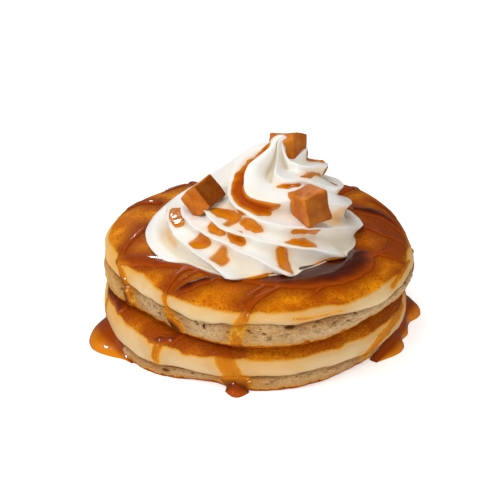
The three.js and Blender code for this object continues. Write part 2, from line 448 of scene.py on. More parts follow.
def cream_material():
    """White, with a warm painted shade in its hollows, and stained where sauce has soaked in."""
    shades = colours()
    graph = Graph("whipped_cream")
    hollow = graph.attribute("hollow")
    stain = graph.attribute("stain")
    # Painted shade, warm and greyish, in the valleys between the folds.
    base = graph.mix(graph.between(hollow, 0.2, 1.0), shades["cream"], seen(230, 219, 198))
    base = graph.mix(stain, base, seen(240, 174, 50))
    relief = graph.bump(graph.speckle(0.9, 3.0), 0.12, 0.35)
    return graph.finish(
        {
            "Base Color": base,
            "Roughness": 0.42,
            "Normal": relief,
            "Subsurface Weight": 0.1,
            "Subsurface Radius": (0.003, 0.0025, 0.002),
            "Subsurface Scale": 1.0,
            "Specular IOR Level": 0.35,
        }
    )


def fudge_material():
    """Dense satin fudge, a little lighter and drier where it was cut."""
    shades = colours()
    graph = Graph("fudge")
    wide = graph.speckle(5.0, 3.0)
    fine = graph.speckle(0.8, 3.0, 0.6)
    base = graph.mix(graph.between(wide, 0.3, 0.75), shades["fudge"], seen(214, 128, 34))
    base = graph.mix(graph.between(fine, 0.5, 0.8, 0.0, 0.35), base, seen(140, 64, 6))
    rough_shaded_side = graph.attribute("rough_shaded_side")
    # Painted shade on the side turned right and to the front; that side's relief is rougher too.
    base = graph.mix(rough_shaded_side * graph.between(fine, 0.2, 0.7, 0.9, 0.65), base, seen(100, 42, 4))
    relief = graph.bump(fine * (0.4 + rough_shaded_side), 0.3, 0.6, graph.bump(wide, 0.5, 0.5))
    return graph.finish(
        {
            "Base Color": base,
            "Roughness": graph.between(wide, 0.3, 0.7, 0.35, 0.5),
            "Normal": relief,
            "Subsurface Weight": 0.08,
            "Subsurface Radius": (0.003, 0.0015, 0.0006),
            "Subsurface Scale": 1.0,
            "Specular IOR Level": 0.12,
            "Coat Weight": 0.05,
            "Coat Roughness": 0.25,
        }
    )


def sauce_material(name, thin, thick, full, clear, swirled=0.4):
    """Glossy caramel sauce: golden where it is thin, deep brown at a full depth in millimetres.

    It is a clear film that hides what it lies on from the clear share of that depth.
    """
    shades = colours()
    graph = Graph(name)
    depth = graph.attribute("depth") / full
    swirl = graph.speckle(7.0, 3.0)
    film = graph.mix(graph.attribute("backing"), shades[thin], shades["sauce_browned"])
    base = graph.mix(graph.between(depth + (swirl - 0.5) * swirled, 0.15, 0.95), film, shades[thick])
    return graph.finish(
        {
            "Base Color": base,
            "Alpha": graph.between(depth + (swirl - 0.5) * 0.15, 0.0, clear, 0.3, 1.0),
            "Roughness": 0.3,
            "Normal": graph.bump(graph.speckle(5.0, 2.0, shift=0.7), 1.2, 0.5),
            "Specular IOR Level": 0.1,
            "Coat Weight": 1.0,
            "Coat Roughness": 0.04,
            "Coat IOR": 1.4,
        }
    )


# Strokes of sauce ---------------------------------------------------------------------------------

# Sauce is drawn on each surface as if it were flattened: x and y from its middle, in millimetres
# along the surface, so that a place past the edge of a pancake is on its side. A stroke is a chain of
# (x, y, half width), and each group of strokes has a depth and the width of its rounded edge.
SAUCE = {
    "pancake_top": [
        ([
            [(-5, -58, 1.8), (-7, -61, 2.2), (-9, -65, 2.4), (-10, -70, 2.8)],
            [(12, -58.5, 0.2), (17.5, -57.5, 0.4), (24, -55, 0.35), (29, -52.5, 0.2)],
            [(-50.5, -22, 1.6), (-51.5, -30, 2.2), (-53, -36, 1.6)],
            [(45, 11, 5), (52, -4, 4), (48, -16, 4)],
            [(-35, -48, 1.8), (-34, -56, 2.4)],
            [(9, 54, 2.2), (10, 64, 2.8)],
        ], 0.25, 0.8),
        ([
            [(-41, 3, 1.8), (-45, -6, 1.5), (-48.5, -12.5, 1.6), (-50, -17, 2)],
            [
                (-50, -17.5, 2.2), (-43, -21.5, 3.2), (-35, -24.5, 4.2), (-28, -26.5, 4),
                (-20, -30, 3.4), (-12, -36.5, 3),
            ],
            [(-24.5, -29, 1.8), (-29, -36.5, 1.3), (-31.5, -40, 1.1), (-33.5, -43, 1.3), (-34.5, -47, 1.4)],
            [(-20, -31, 1.2), (-25, -37, 0.9), (-30, -42, 0.8)],
            [(2, -43, 1.3), (-3, -50, 1), (-6.5, -53, 0.8)],
            [(8, -44, 1.3), (1, -50, 1.1), (-3.5, -54.5, 1.3), (-5, -58, 1.5)],
            [(24.5, -37.5, 2.5), (21.5, -43.5, 1.6), (19.5, -47, 1)],
            [
                (34, 21, 2.4), (40, 18, 2.3), (45.5, 16, 2.3), (50.5, 12.5, 2), (53, 7, 1.6),
                (55.5, 0, 1.2), (57, -3, 0.9),
            ],
            [(44, 27, 1.2), (48.5, 23, 1.6), (51.5, 17.5, 1.4)],
            [(34, 9, 2.2), (39, 4, 2.2), (46, -3.5, 1.8), (53, -8, 1.3)],
            [(36, -26.5, 1.5), (41, -20.5, 1), (49.5, -12.5, 0.7)],
            [(37, -17, 1.6), (44, -20, 0.9), (52, -20, 0.6)],
            [(47.5, -35, 0.7), (50.5, -28, 0.7), (55.5, -15, 0.7)],
            [(-49, 23, 1.4), (-45, 26, 1.9), (-38, 24, 2.2)],
            [(-35, 38, 1.3), (-31.5, 40.5, 1.8), (-28, 42.5, 1.3)],
            [(-20, 34, 2), (-24, 42, 1.8), (-27, 50, 1.6), (-29, 57, 1.8)],
            [(8, 38, 2.4), (10, 46, 1.6), (9, 54, 1.4)],
            [(28, 30, 2), (34, 36, 1.6), (38, 42, 1.4), (41, 48, 1.8)],
        ], 0.85, 0.9),
        ([
            [(-51, -17, 1.4), (-51, -22, 1.1), (-51, -26, 1.3), (-53, -29, 1.8), (-54.5, -32, 2.4)],
            [(-35.5, -50.5, 1.6), (-34.5, -53, 2.4), (-32.5, -56, 2.4)],
            [(-28, -43.5, 1.4), (-23.5, -42, 2.6), (-18.5, -40, 2.4), (-15.5, -38, 1.4)],
            [(11, 62, 1.4), (11.5, 66, 2.2)],
            [(36, 17, 2.6), (41, 15.5, 3.4), (46, 11.5, 2.4), (50.5, 5.5, 1.8), (53.5, -0.5, 1.1)],
            [(60, -1, 1.6), (65, -3, 2.4), (69, -6, 2)],
        ], 1.7, 1.5),
        ([
            [
                (-14, -31, 2.5), (-8.5, -31, 7.5), (-1, -33, 9.5), (4, -34.5, 10), (10, -35.5, 10.4),
                (16.5, -35.5, 10.4),
            ],
            [
                (16.5, -35.5, 10.4), (22.5, -33.5, 10.4), (26.5, -30.5, 10.5), (30.5, -26, 10.3),
                (33.5, -21, 7),
            ],
            [(-18, 34, 2.6), (-4, 38, 3), (10, 38, 3), (24, 32, 2.8)],
        ], 1.7, 3.0),
    ],
    "pancake_bottom": [
        ([
            [(-11, -50, 3.2), (-10, -57, 3.2), (-8, -62, 3.4), (-7, -66, 3.4), (-7, -70, 3)],
            [(-54, -12, 1.4), (-58.5, -16, 1.6), (-60, -22, 2), (-59, -31, 2.4)],
            [(56, -15, 1.6), (54.5, -22, 2), (52, -31, 2), (48, -38, 2), (47, -45, 2.4)],
            [(59, -4, 2.4), (62, -10, 2.6)],
            [(-34, -47, 2.2), (-37, -51, 1.6)],
            [(12, 58, 2.6), (14, 68, 3)],
            [(-29, 54, 2.2), (-33, 62, 2.6)],
        ], 0.3, 0.9),
        ([
            [(-52, -4, 2), (-51, -10, 2.6), (-48.5, -17, 3), (-46.5, -24, 2.6)],
            [(-36, -43.5, 1.6), (-32, -45, 2.4), (-28, -46, 2.2), (-24, -45, 1.4)],
            [(-34, -47, 1.6), (-37, -49.5, 1.4)],
            [(-12.5, -64.5, 1.6), (-10, -66, 3.4), (-3.5, -66.5, 3.4)],
            [(43, 46, 1.8), (47, 51, 2.2), (48, 56, 1.6)],
            [(12, 52, 2.2), (13, 58, 1.8)],
        ], 1.3, 1.3),
    ],
    "whipped_cream": [
        ([
            [(-16.5, -33.5, 2.6), (-17, -36, 3.1), (-15.2, -37.6, 2.6)],
            [(6.8, -34, 2), (9.3, -37, 2.6), (11, -40, 2.9), (12.8, -43.5, 2.8)],
            [(-13, -21, 1.6), (-16, -24, 1.4)],
        ], 0.14, 1.2),
        ([
            [(-35.5, 3, 1.6), (-35.5, -3, 2.4), (-34.3, -8, 2.4), (-33, -12.5, 1.2)],
            [(-25.5, -23.8, 1.9), (-25.7, -26, 2.8), (-23.5, -27.3, 2.4)],
            [(-21, -20.5, 1.6), (-19, -23, 1.9), (-16.7, -26, 1.2)],
            [(-13.2, -27.4, 1.5), (-11, -29, 2), (-8.5, -32, 1)],
            [(-20.5, -14.4, 1.2), (-17.8, -17.2, 1.7), (-15.2, -19.2, 1.5), (-13.6, -20.8, 0.8)],
            [(-10.3, -23.2, 1.1), (-7.3, -25, 1.7), (-4.8, -26.8, 1.3), (-3, -27.6, 0.6)],
            [(9, -27, 0.8), (13.8, -25.8, 1.2), (19, -24.2, 0.8)],
            [(7.6, -31.8, 0.8), (11.4, -31, 1.6), (15.7, -30, 2.2), (20.5, -29.6, 1.3)],
            [(-2, -51.5, 1.4), (4, -49.5, 2), (6.5, -45, 1.3)],
            [(27, -36, 1.4), (30.5, -33.5, 1.8), (37, -28, 1.2)],
            [(-22, 13, 1), (-19, 12, 1), (-16.5, 9.5, 0.8)],
            [(18.7, -2.5, 1.1), (20.5, -3.5, 1.5)],
            [(10, 22, 1.8), (6, 27, 2.4), (3, 31, 1.6)],
            [(24, 14, 1.6), (27, 19, 2.2), (26, 24, 1.8)],
            [(-8, 28, 1.6), (-12, 32, 2.4), (-15, 36, 1.8)],
            [(34, 4, 1.6), (37, 9, 2)],
            [(-28, 22, 1.8), (-31, 27, 2)],
            [(20, 36, 1.6), (15, 41, 2.2), (9, 43, 1.6)],
        ], 0.4, 1.1),
        ([
            [
                (-3.5, 0.8, 0.7), (-6, -1, 1), (-8.2, -2.3, 1.2), (-10.1, -4.3, 1.4),
                (-11.8, -6.5, 1.8), (-12.6, -9, 2),
            ],
            [
                (-12.6, -9, 2), (-12.4, -12, 2.8), (-9.9, -15.4, 3.2), (-6.5, -18.2, 3),
                (-3.5, -19.4, 2.2), (0, -19.2, 1.4),
            ],
            [(-12.5, -14.5, 2), (-9.7, -18.6, 2.2), (-6, -21, 1.6), (-2.2, -22, 0.9)],
            [(-0.5, -14.2, 0.6), (2.6, -14, 1), (5.3, -12.9, 1), (7.3, -11.2, 0.9)],
            [(4.7, -12, 0.6), (8.7, -8.7, 0.9), (15, -2, 0.6)],
            [(3, 9, 1), (8, 9, 1.3), (13, 7, 1.4), (16, 3, 1.1)],
        ], 1.3, 1.6),
    ],
}
# Places where sauce has only tinted the cream.
STAINS = [
    [(25, -17, 3), (29, -10, 3.6), (31, -4, 2)],
    [(-41.5, -4, 1.4), (-40.5, -11, 1.8), (-37, -18.5, 1.6)],
    [(-13, -21, 2), (-17, -25, 1.5)],
    [(30, -34, 2.5), (37, -27, 2)],
    [(-3, -52, 2), (6, -47, 3)],
    [(14, 24, 3), (6, 32, 3)],
]


# Pancakes -----------------------------------------------------------------------------------------

THICKNESS = node_box("pancake_bottom")[1][2]
CREST_HEIGHT = 9.0
TOP_ROUNDING = 12.0
FOOT_ROUNDING = 2.6

UPPER_BOX = node_box("pancake_top")
UPPER_PLACE = np.array([2.0, 0.0, UPPER_BOX[0][2]])

EDGE_ANGLES = np.radians(np.linspace(90, -90, 181))


def edge_section(angle):
    """Inset from the rim and height of the edge: a quarter ellipse above, a squarer one below."""
    above = angle >= 0
    rounding = np.where(above, TOP_ROUNDING, FOOT_ROUNDING)
    rise = np.where(above, THICKNESS - CREST_HEIGHT, CREST_HEIGHT)
    power = np.where(above, 1.0, 0.5)
    inset = rounding * (1 - np.clip(np.cos(angle), 0, None) ** power)
    return inset, CREST_HEIGHT + rise * np.sin(angle)


EDGE_STEPS = np.hypot(*(np.diff(part) for part in edge_section(EDGE_ANGLES)))
EDGE_LENGTHS = np.r_[0, np.cumsum(EDGE_STEPS)]
SIDE_LENGTH = EDGE_LENGTHS[-1]


def lower_radius(turn):
    """The lower pancake is narrower at the left."""
    return sizes()["pancake_radius"] - 2.6 * towards(turn, 185, 28) - 0.8 * towards(turn, 20, 40)


def lower_flare(turn):
    """Its foot flares a little, and curls in at the front."""
    return 0.6 - 4.5 * towards(turn, 252, 13) - 3.4 * towards(turn, 315, 22)


def upper_radius(turn):
    """The upper pancake is drawn in at the left front and bulges elsewhere."""
    bulges = 1.2 * towards(turn, 300, 45) + 1.2 * towards(turn, 150, 25) + 3.6 * towards(turn, 50, 24)
    return sizes()["pancake_radius"] - 4.5 * towards(turn, 218, 30) + bulges - 1.2 * towards(turn, 5, 20)


def upper_flare(turn):
    """Its foot is drawn in further at the left front."""
    return 0.4 - 1.2 * towards(turn, 225, 20) + 1.5 * towards(turn, 200, 14) - 5 * towards(turn, 318, 26)


# The crease and the brown line are heights in millimetres, pale_left is how much higher the brown line
# is at the left, and the soak is how much sauce the whole pancake has taken up; on the lower pancake it
# is also painted shade, darkest over its top.
PANCAKES = {
    "pancake_bottom": {
        "radius": lower_radius,
        "flare": lower_flare,
        "place": np.zeros(3),
        "seed": 1,
        "crease": 4.3,
        "brown_line": 12.2,
        "pale_left": 0.9,
        "soaked_and_shaded": 0.75,
    },
    "pancake_top": {
        "radius": upper_radius,
        "flare": upper_flare,
        "place": UPPER_PLACE,
        "seed": 40,
        "crease": 7.6,
        "brown_line": 13.2,
        "pale_left": 0.6,
        "soaked_and_shaded": 0.0,
    },
}
CREASE_WIDTH = 0.9
FLARE_HEIGHT = 5.0
BRIM_HEIGHT = 1.1


def pancake_surface(node, turn, reach, rough=1.0):
    """Points, normals and looks of a pancake at a turn and a reach.

    The reach is measured along the surface from the middle of the top, over the edge and down the
    side. The side is an edge section set in from the rim, less a crease exp(-((height - crease) /
    width)^2) whose height and depth wander, with noise and bubbles on the lower band. The looks are
    the golden fringe, the browning, the crumb, the pores and painted shade, from 0 to 1; the pores are
    also painted dark as shade, and the painted shade, kept under the name crease, darkens the crease,
    the hollows between the crumb's lumps and the foot of the side.
    """
    pancake = PANCAKES[node]
    seed = pancake["seed"]
    size = sizes()
    rim = pancake["radius"](turn)
    flat = rim - TOP_ROUNDING
    angle = np.interp(reach - flat, EDGE_LENGTHS, EDGE_ANGLES)
    inset, height = edge_section(angle)
    radius = np.where(reach < flat, reach, rim - inset)
    height = np.where(reach < flat, THICKNESS, height)
    around = np.stack([np.cos(turn), np.sin(turn), np.zeros_like(turn)], -1)
    upright = np.array([0, 0, 1.0])
    shift = upright * 50 * seed
    at = around * rim[..., None] + shift
    crease_at = pancake["crease"] + 0.9 * noise(at, 13.0, seed) + 0.4 * noise(at, 4.0, seed + 1)
    crease_at = crease_at + 1.6 * towards(turn, 280, 28)
    crease = np.exp(-(((height - crease_at) / CREASE_WIDTH) ** 2)) * (0.75 + 0.5 * noise(at, 7.0, seed + 2))
    radius = radius - size["crease_depth"] * crease
    radius = radius + pancake["flare"](turn) * np.exp(-((height / FLARE_HEIGHT) ** 2))
    over = reach < flat
    normal = around * np.cos(angle)[..., None] + upright * np.sin(angle)[..., None]
    normal = np.where(over[..., None], upright, normal)
    points = around * radius[..., None] + upright * height[..., None]
    spots = points + shift
    side = np.cos(angle) * ~over
    band = ease(crease_at - height, -0.4, 0.8) * side
    lumps = 0.5 * noise(spots * [1, 1, 1.3], 3.4, seed + 3) + 0.45 * noise(spots, 1.6, seed + 4)
    lumps = lumps + 0.3 * np.abs(noise(spots, 2.6, seed + 6)) - 0.2 * np.abs(noise(spots, 1.1, seed + 7))
    flow = spots * [1, 1, 1.7] + 0.9 * noise(spots, 1.7, seed + 14)[..., None]
    pores = np.maximum(bubbles(flow, 5.6, seed + 20), bubbles(flow, 2.8, seed + 30)) * band
    pores = np.clip(1.15 * pores - 0.15, 0, 1)
    smooth_side = side - band
    lift = band * size["crumb_depth"] * 2 * lumps * rough - 1.5 * pores**0.5 * rough
    waves = 0.5 * noise(spots * [1, 1, 0.35], 9.0, seed + 8) + 0.08 * noise(spots, 1.4, seed + 9)
    lift += smooth_side * waves
    lift += (1 - side) * (reach < flat + 3) * 0.25 * noise(spots, 13.0, seed + 10)
    brim = np.exp(-((height / BRIM_HEIGHT) ** 2)) * ~over
    lift += brim * side * (0.5 + 0.6 * noise(spots, 2.4, seed + 11)) * rough
    points = points + normal * lift[..., None]
    points[..., 2] = np.clip(points[..., 2], 0, None)
    line = pancake["brown_line"] + 0.8 * noise(at, 11.0, seed + 12) + 0.45 * noise(at, 3.0, seed + 13)
    line = line + pancake["pale_left"] * towards(turn, 203, 26)
    browned = ease(height, line - 0.9, line + 1.5)
    burnt = 0.9 * ease(-height, -1.9, -0.5) * ~over
    # Painted shade in the crease, in the hollows between the crumb's lumps, and towards the foot of the side.
    shaded = crease * side + 0.6 * band * ease(-lumps, 0.1, 0.7) + 0.45 * band * ease(-height, -4.5, 0)
    looks = {
        "fringe": ease(height, line - 3.8, line),
        "browning": np.clip(browned + burnt, 0, 1),
        "crumb": band,
        "pores": pores,
        "crease": np.clip(shaded, 0, 1),
    }
    return points + pancake["place"], normal, looks


PANCAKE_COLUMNS = 640
TOP_ROWS = 38
SIDE_ROWS = 88
UNDER_ROWS = 5


def build_pancake(node, material):
    """A pancake: rings over the top, down the side and under the foot, closed at both poles."""
    turn = np.linspace(0, 2 * np.pi, PANCAKE_COLUMNS, endpoint=False)
    flat = PANCAKES[node]["radius"](turn) - TOP_ROUNDING
    over = flat * np.linspace(0, 1, TOP_ROWS + 1)[1:-1, None]
    down = flat + SIDE_LENGTH * np.linspace(0, 1, SIDE_ROWS)[:, None]
    reach = np.concatenate([over, down])
    turns = np.broadcast_to(turn, reach.shape)
    points, _, looks = pancake_surface(node, turns, reach)
    soaked_and_shaded = sauce_inside(turns, reach, SAUCE[node])
    # Besides the sauce's own soak, painted shade: the lower pancake darkens all over, most on its top under
    # the upper one, and each pancake darkens along its foot.
    seeped_and_shaded = PANCAKES[node]["soaked_and_shaded"] * (0.6 + 0.6 * ease(points[..., 2], 13.0, 16.5))
    foot = ease(PANCAKES[node]["place"][2] - points[..., 2], -3.2, -1.2)
    looks["soaked_and_shaded"] = np.clip(ease(soaked_and_shaded, -7, 0.5) + seeped_and_shaded + 0.8 * foot, 0, 1)
    tinted = 0.55 * towards(turns, 190, 20) + 0.25 * towards(turns, 272, 16)
    looks["glazed"] = np.maximum(ease(soaked_and_shaded, -1.4, 0.5), tinted)
    middle = PANCAKES[node]["place"]
    shrink = np.linspace(1, 0, UNDER_ROWS + 2)[1:-1, None, None]
    under = middle + (points[-1] - middle) * shrink
    under[..., 2] = middle[2]
    rings = np.concatenate([points, under])
    poles = np.array([middle + [0, 0, THICKNESS], middle])
    extra = UNDER_ROWS * PANCAKE_COLUMNS + 2
    values = {
        name: np.r_[look.ravel(), np.full(extra, name == "browning")] for name, look in looks.items()
    }
    return mesh_piece(
        node.replace("pancake_", "griddled_pancake_"),
        np.concatenate([rings.reshape(-1, 3), poles]),
        closed_faces(len(rings), PANCAKE_COLUMNS),
        material,
        [node],
        values,
    )


# Whipped cream ------------------------------------------------------------------------------------

CREAM_BOX = node_box("whipped_cream")
CREAM_BASE = CREAM_BOX[0][2] - 0.3
CREAM_HEIGHT = CREAM_BOX[1][2] - CREAM_BASE
CREAM_RADIUS = 39.0
CREAM_REACH = [
    [0, 0], [0.02, 1.3], [0.04, 2.3], [0.08, 5], [0.2, 13.6], [0.35, 21], [0.5, 27.5], [0.65, 32.5],
    [0.8, 37], [0.92, CREAM_RADIUS + 0.3], [1, CREAM_RADIUS - 1],
]
CREAM_RISE = [
    [0, CREAM_HEIGHT + 2.2], [0.02, CREAM_HEIGHT], [0.04, 34.4], [0.08, 32.3], [0.2, 28.3],
    [0.35, 21.4], [0.5, 15.2], [0.65, 9.7], [0.8, 4.8], [0.92, 1.6], [1, 0],
]
PEAK_X = [[0, 9.2], [0.2, 9.4], [0.35, 8.5], [0.65, 3.5], [0.8, 1.5], [1, 0]]
PEAK_Y = [[0, 3], [0.2, 2.5], [0.5, 0], [0.8, -2.4], [1, -3.6]]
TIP_BEND = CREAM_HEIGHT - 2.4
TIP_RADIUS = 1.9
SLOPE_LENGTH = 54.0
CREAM_TWIST = np.radians(300)
# Each fold is a crest through points of turn in degrees and share of the way down, and how full it is:
# a full fold bulges above its crest, and a lean one is hollow there.
FOLDS = [
    (
        [
            [150, 0.03], [185, 0.2], [217, 0.35], [250, 0.43], [310, 0.555], [330, 0.63], [362, 0.83],
            [400, 1.05],
        ],
        0.1,
    ),
    ([[200, 0.03], [225, 0.26], [250, 0.34], [300, 0.36], [368, 0.62], [450, 1.05]], 1.0),
    (
        [
            [250, 0.03], [264, 0.2], [305, 0.26], [372, 0.45], [500, 0.7], [542, 0.685], [570, 0.7],
            [590, 0.735], [610, 0.82], [626, 1.02],
        ],
        0.5,
    ),
    ([[290, 0.05], [306, 0.16], [345, 0.22], [380, 0.30], [495, 0.56], [530, 0.90], [590, 1.02]], 0.3),
    ([[40, 0.03], [120, 0.38], [187, 0.57], [235, 0.61], [270, 0.72], [300, 0.97]], 0.2),
    (
        [
            [100, 0.03], [150, 0.33], [205, 0.47], [232, 0.525], [262, 0.57], [300, 0.685], [320, 0.82],
            [335, 1.02],
        ],
        0.2,
    ),
    ([[0, 0.06], [60, 0.28], [100, 0.62], [150, 1.02]], 0.3),
]
# How far a fold reaches from its crest, in millimetres: above it, below it, and above it where full.
WIDTH_ABOVE = 2.9
WIDTH_BELOW = 1.7
WIDTH_FULL = 6.5
FOLD_CREST = 0.3
# The notch under the peak at its right: its share, how wide it is, how far it draws in and drops.
NOTCH_SHARE = 0.09
NOTCH_WIDTH = 0.06
NOTCH_INWARDS = 0.35
NOTCH_DROP = 5.0
# Lobes of the foot at the front: the share that each spreads by, its direction and its width.
LOBES = [(0.09, 340, 15), (0.07, 262, 20), (0.04, 300, 18)]


def fold_height(turn, share, reach):
    """How high the folds stand, from 0 in a valley to 1 on a crest.

    A lean fold is exp(-distance from its crest / width), broad above its crest and narrow below. A
    full one is sqrt(1 - (distance / width)^2) above, and all are full at the foot, where they end in
    lobes. The folds are joined by the cube root of the sum of their cubes.
    """
    total = np.zeros_like(turn)
    spots = np.stack([share * SLOPE_LENGTH * np.cos(turn), share * SLOPE_LENGTH * np.sin(turn), 0 * turn], -1)
    share = share + 0.006 * noise(spots, 5.0, 60) + 0.003 * noise(spots, 2.0, 61)
    foot = ease(share, 0.7, 0.92)
    for crest, full in FOLDS:
        first, last = crest[0][0], crest[-1][0]
        for lap in (0, 360):
            angle = np.degrees(turn) + lap
            along = through(crest, np.clip(angle, first, last))
            pitch = (through(crest, np.clip(angle + 1, first, last)) - along) * SLOPE_LENGTH
            lean = np.hypot(1, pitch / np.maximum(np.radians(1) * reach, 0.05))
            away = (share - along) * SLOPE_LENGTH / lean
            width = np.where(away > 0, WIDTH_BELOW, WIDTH_ABOVE)
            hollow = np.exp(-(np.hypot(away, FOLD_CREST) - FOLD_CREST) / width)
            bulge = np.sqrt(np.clip(1 - (away / (WIDTH_FULL + 2.5 * foot)) ** 2, 0, 1))
            fullness = np.maximum(full * ease(-share, -0.75, -0.35), 0.9 * foot)
            shape = np.where(away > 0, hollow, hollow * (1 - fullness) + bulge * fullness)
            ends = ease(angle, first, first + 15) * ease(-angle, -last, -last + 15)
            total += (ends * shape) ** 3
    return np.minimum(np.cbrt(total), 1)


def cream_surface(turn, share):
    """Points and fold heights of the cream at a turn and a share of the way from peak to foot.

    The rings' reach, rise and middle follow curves, and the surface is sunk along its normal by the
    fold depth times one less the fold height, and straight inwards at the foot. The crests droop a
    little down the slope, a notch draws in the right of the peak, the foot spreads at its lobes, and
    the tip curls over round a small circle.
    """
    notch = towards(turn, 5, 55) * np.exp(-(((share - NOTCH_SHARE) / NOTCH_WIDTH) ** 2))
    spread = 0.02 * towards(turn, 22, 20) * ease(share, 0.55, 0.75)
    front = sum(much * towards(turn, direction, width) for much, direction, width in LOBES)
    spread = spread + front * ease(share, 0.7, 0.95)
    reach = through(CREAM_REACH, share) * (1 - NOTCH_INWARDS * notch + spread)
    rise = through(CREAM_RISE, share) - NOTCH_DROP * notch
    step = 0.02
    outwards = through(CREAM_RISE, share - step) - through(CREAM_RISE, share + step)
    upwards = through(CREAM_REACH, share + step) - through(CREAM_REACH, share - step)
    span = np.hypot(outwards, upwards)
    fold = fold_height(turn, share, reach)
    deep = 1.3 - 0.25 * ease(share, 0.3, 0.7) - 0.1 * ease(share, 0.7, 0.95)
    sunk = sizes()["fold_depth"] * deep * ease(share, 0, 0.14) * (fold - 1)
    settle = 1 - ease(share, 0.88, 1)
    droop = 1.1 * fold**2 * settle * ease(share, 0.03, 0.2)
    level = ease(share, 0.78, 0.94)
    outwards, upwards = outwards / span * (1 - level) + level, upwards / span * (1 - level)
    radius = np.maximum(reach + sunk * outwards + droop * upwards, 0)
    height = np.maximum(rise + (sunk * upwards - droop * outwards) * settle, 0)
    x, y = radius * np.cos(turn), radius * np.sin(turn)
    curl = np.clip(height - TIP_BEND, 0, None) / TIP_RADIUS
    arm = TIP_RADIUS - np.where(curl > 0, x, 0)
    x = np.where(curl > 0, TIP_RADIUS - arm * np.cos(curl), x)
    height = np.where(curl > 0, TIP_BEND + arm * np.sin(curl), height)
    middle = np.stack([through(PEAK_X, share), through(PEAK_Y, share), np.full(share.shape, CREAM_BASE)], -1)
    return middle + np.stack([x, y, height], -1), fold


def grid_normals(points):
    """Outward normals of a grid that wraps round its second axis, by central differences."""
    down = np.gradient(points, axis=0)
    across = np.roll(points, -1, axis=1) - np.roll(points, 1, axis=1)
    normal = np.cross(down, across)
    return normal / np.maximum(np.linalg.norm(normal, axis=-1, keepdims=True), 1e-9)


CREAM_COLUMNS = 600
CREAM_ROWS = 158


def cream_grid():
    """The cream's turns, shares, points, normals and folds, on a grid that winds with the folds."""
    share = np.linspace(0, 1, CREAM_ROWS + 1)[1:, None]
    column = np.linspace(0, 2 * np.pi, CREAM_COLUMNS, endpoint=False)
    turn = (column + CREAM_TWIST * share) % (2 * np.pi)
    share = np.broadcast_to(share, turn.shape)
    points, fold = cream_surface(turn, share)
    points = points + 0.12 * noise(points, 4.0, 70)[..., None] * grid_normals(points)
    return turn, share, points, grid_normals(points), fold


def build_cream(material):
    """The swirl, closed at its peak and across its foot."""
    turn, share, points, _, fold = cream_grid()
    reach = share * SLOPE_LENGTH
    near = sauce_inside(turn, reach, SAUCE["whipped_cream"])
    tinted = stroke_inside(reach * np.cos(turn), reach * np.sin(turn), STAINS)
    stain = np.maximum(0.95 * ease(near, -0.5, 0.9), 0.65 * ease(tinted, -2.5, 2.5))
    stain = np.maximum(stain, 0.35 * ease(near, -2.2, 0.4))
    stain = stain * (1 - 0.85 * ease(fold, 0.72, 0.92))
    poles = np.array([points[0].mean(axis=0), [0, -3, CREAM_BASE]])
    faces = closed_faces(CREAM_ROWS, CREAM_COLUMNS)
    values = {
        # Painted shade in the valleys, from one less the fold height.
        "hollow": np.r_[(1 - fold).ravel(), 0, 0],
        "stain": np.r_[stain.ravel(), 0, 0],
    }
    return mesh_piece(
        "piped_cream", np.concatenate([points.reshape(-1, 3), poles]), faces, material,
        ["whipped_cream"], values,
    )


# Fudge --------------------------------------------------------------------------------------------

# How dark the painted shade is on the side of each cube turned right and to the front, away from the key
# light.
FUDGE_NODES = {"fudge_cube_left": 1.0, "fudge_cube_right": 0.6, "fudge_cube_back": 0.35}
FUDGE_ROWS = 26
FUDGE_ROUNDING = 0.7
SHADED_SIDE = np.array([0.9, -0.42, -0.1])


def node_axes(node):
    """The middle, axes and half lengths of a boxy node, from the normals of its largest faces."""
    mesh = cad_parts[node].data
    spots = np.empty(len(mesh.vertices) * 3)
    mesh.vertices.foreach_get("co", spots)
    spots = spots.reshape(-1, 3) / MM
    normals = np.empty(len(mesh.polygons) * 3)
    mesh.polygons.foreach_get("normal", normals)
    normals = normals.reshape(-1, 3)
    areas = np.empty(len(mesh.polygons))
    mesh.polygons.foreach_get("area", areas)
    first = normals[areas.argmax()]
    square = np.abs(normals @ first) < 0.05
    second = normals[np.where(square, areas, 0).argmax()]
    third = np.cross(first, second)
    axes = np.array([first, second, third / np.linalg.norm(third)])
    local = spots @ axes.T
    low, high = local.min(axis=0), local.max(axis=0)
    return (low + high) / 2 @ axes, axes, (high - low) / 2


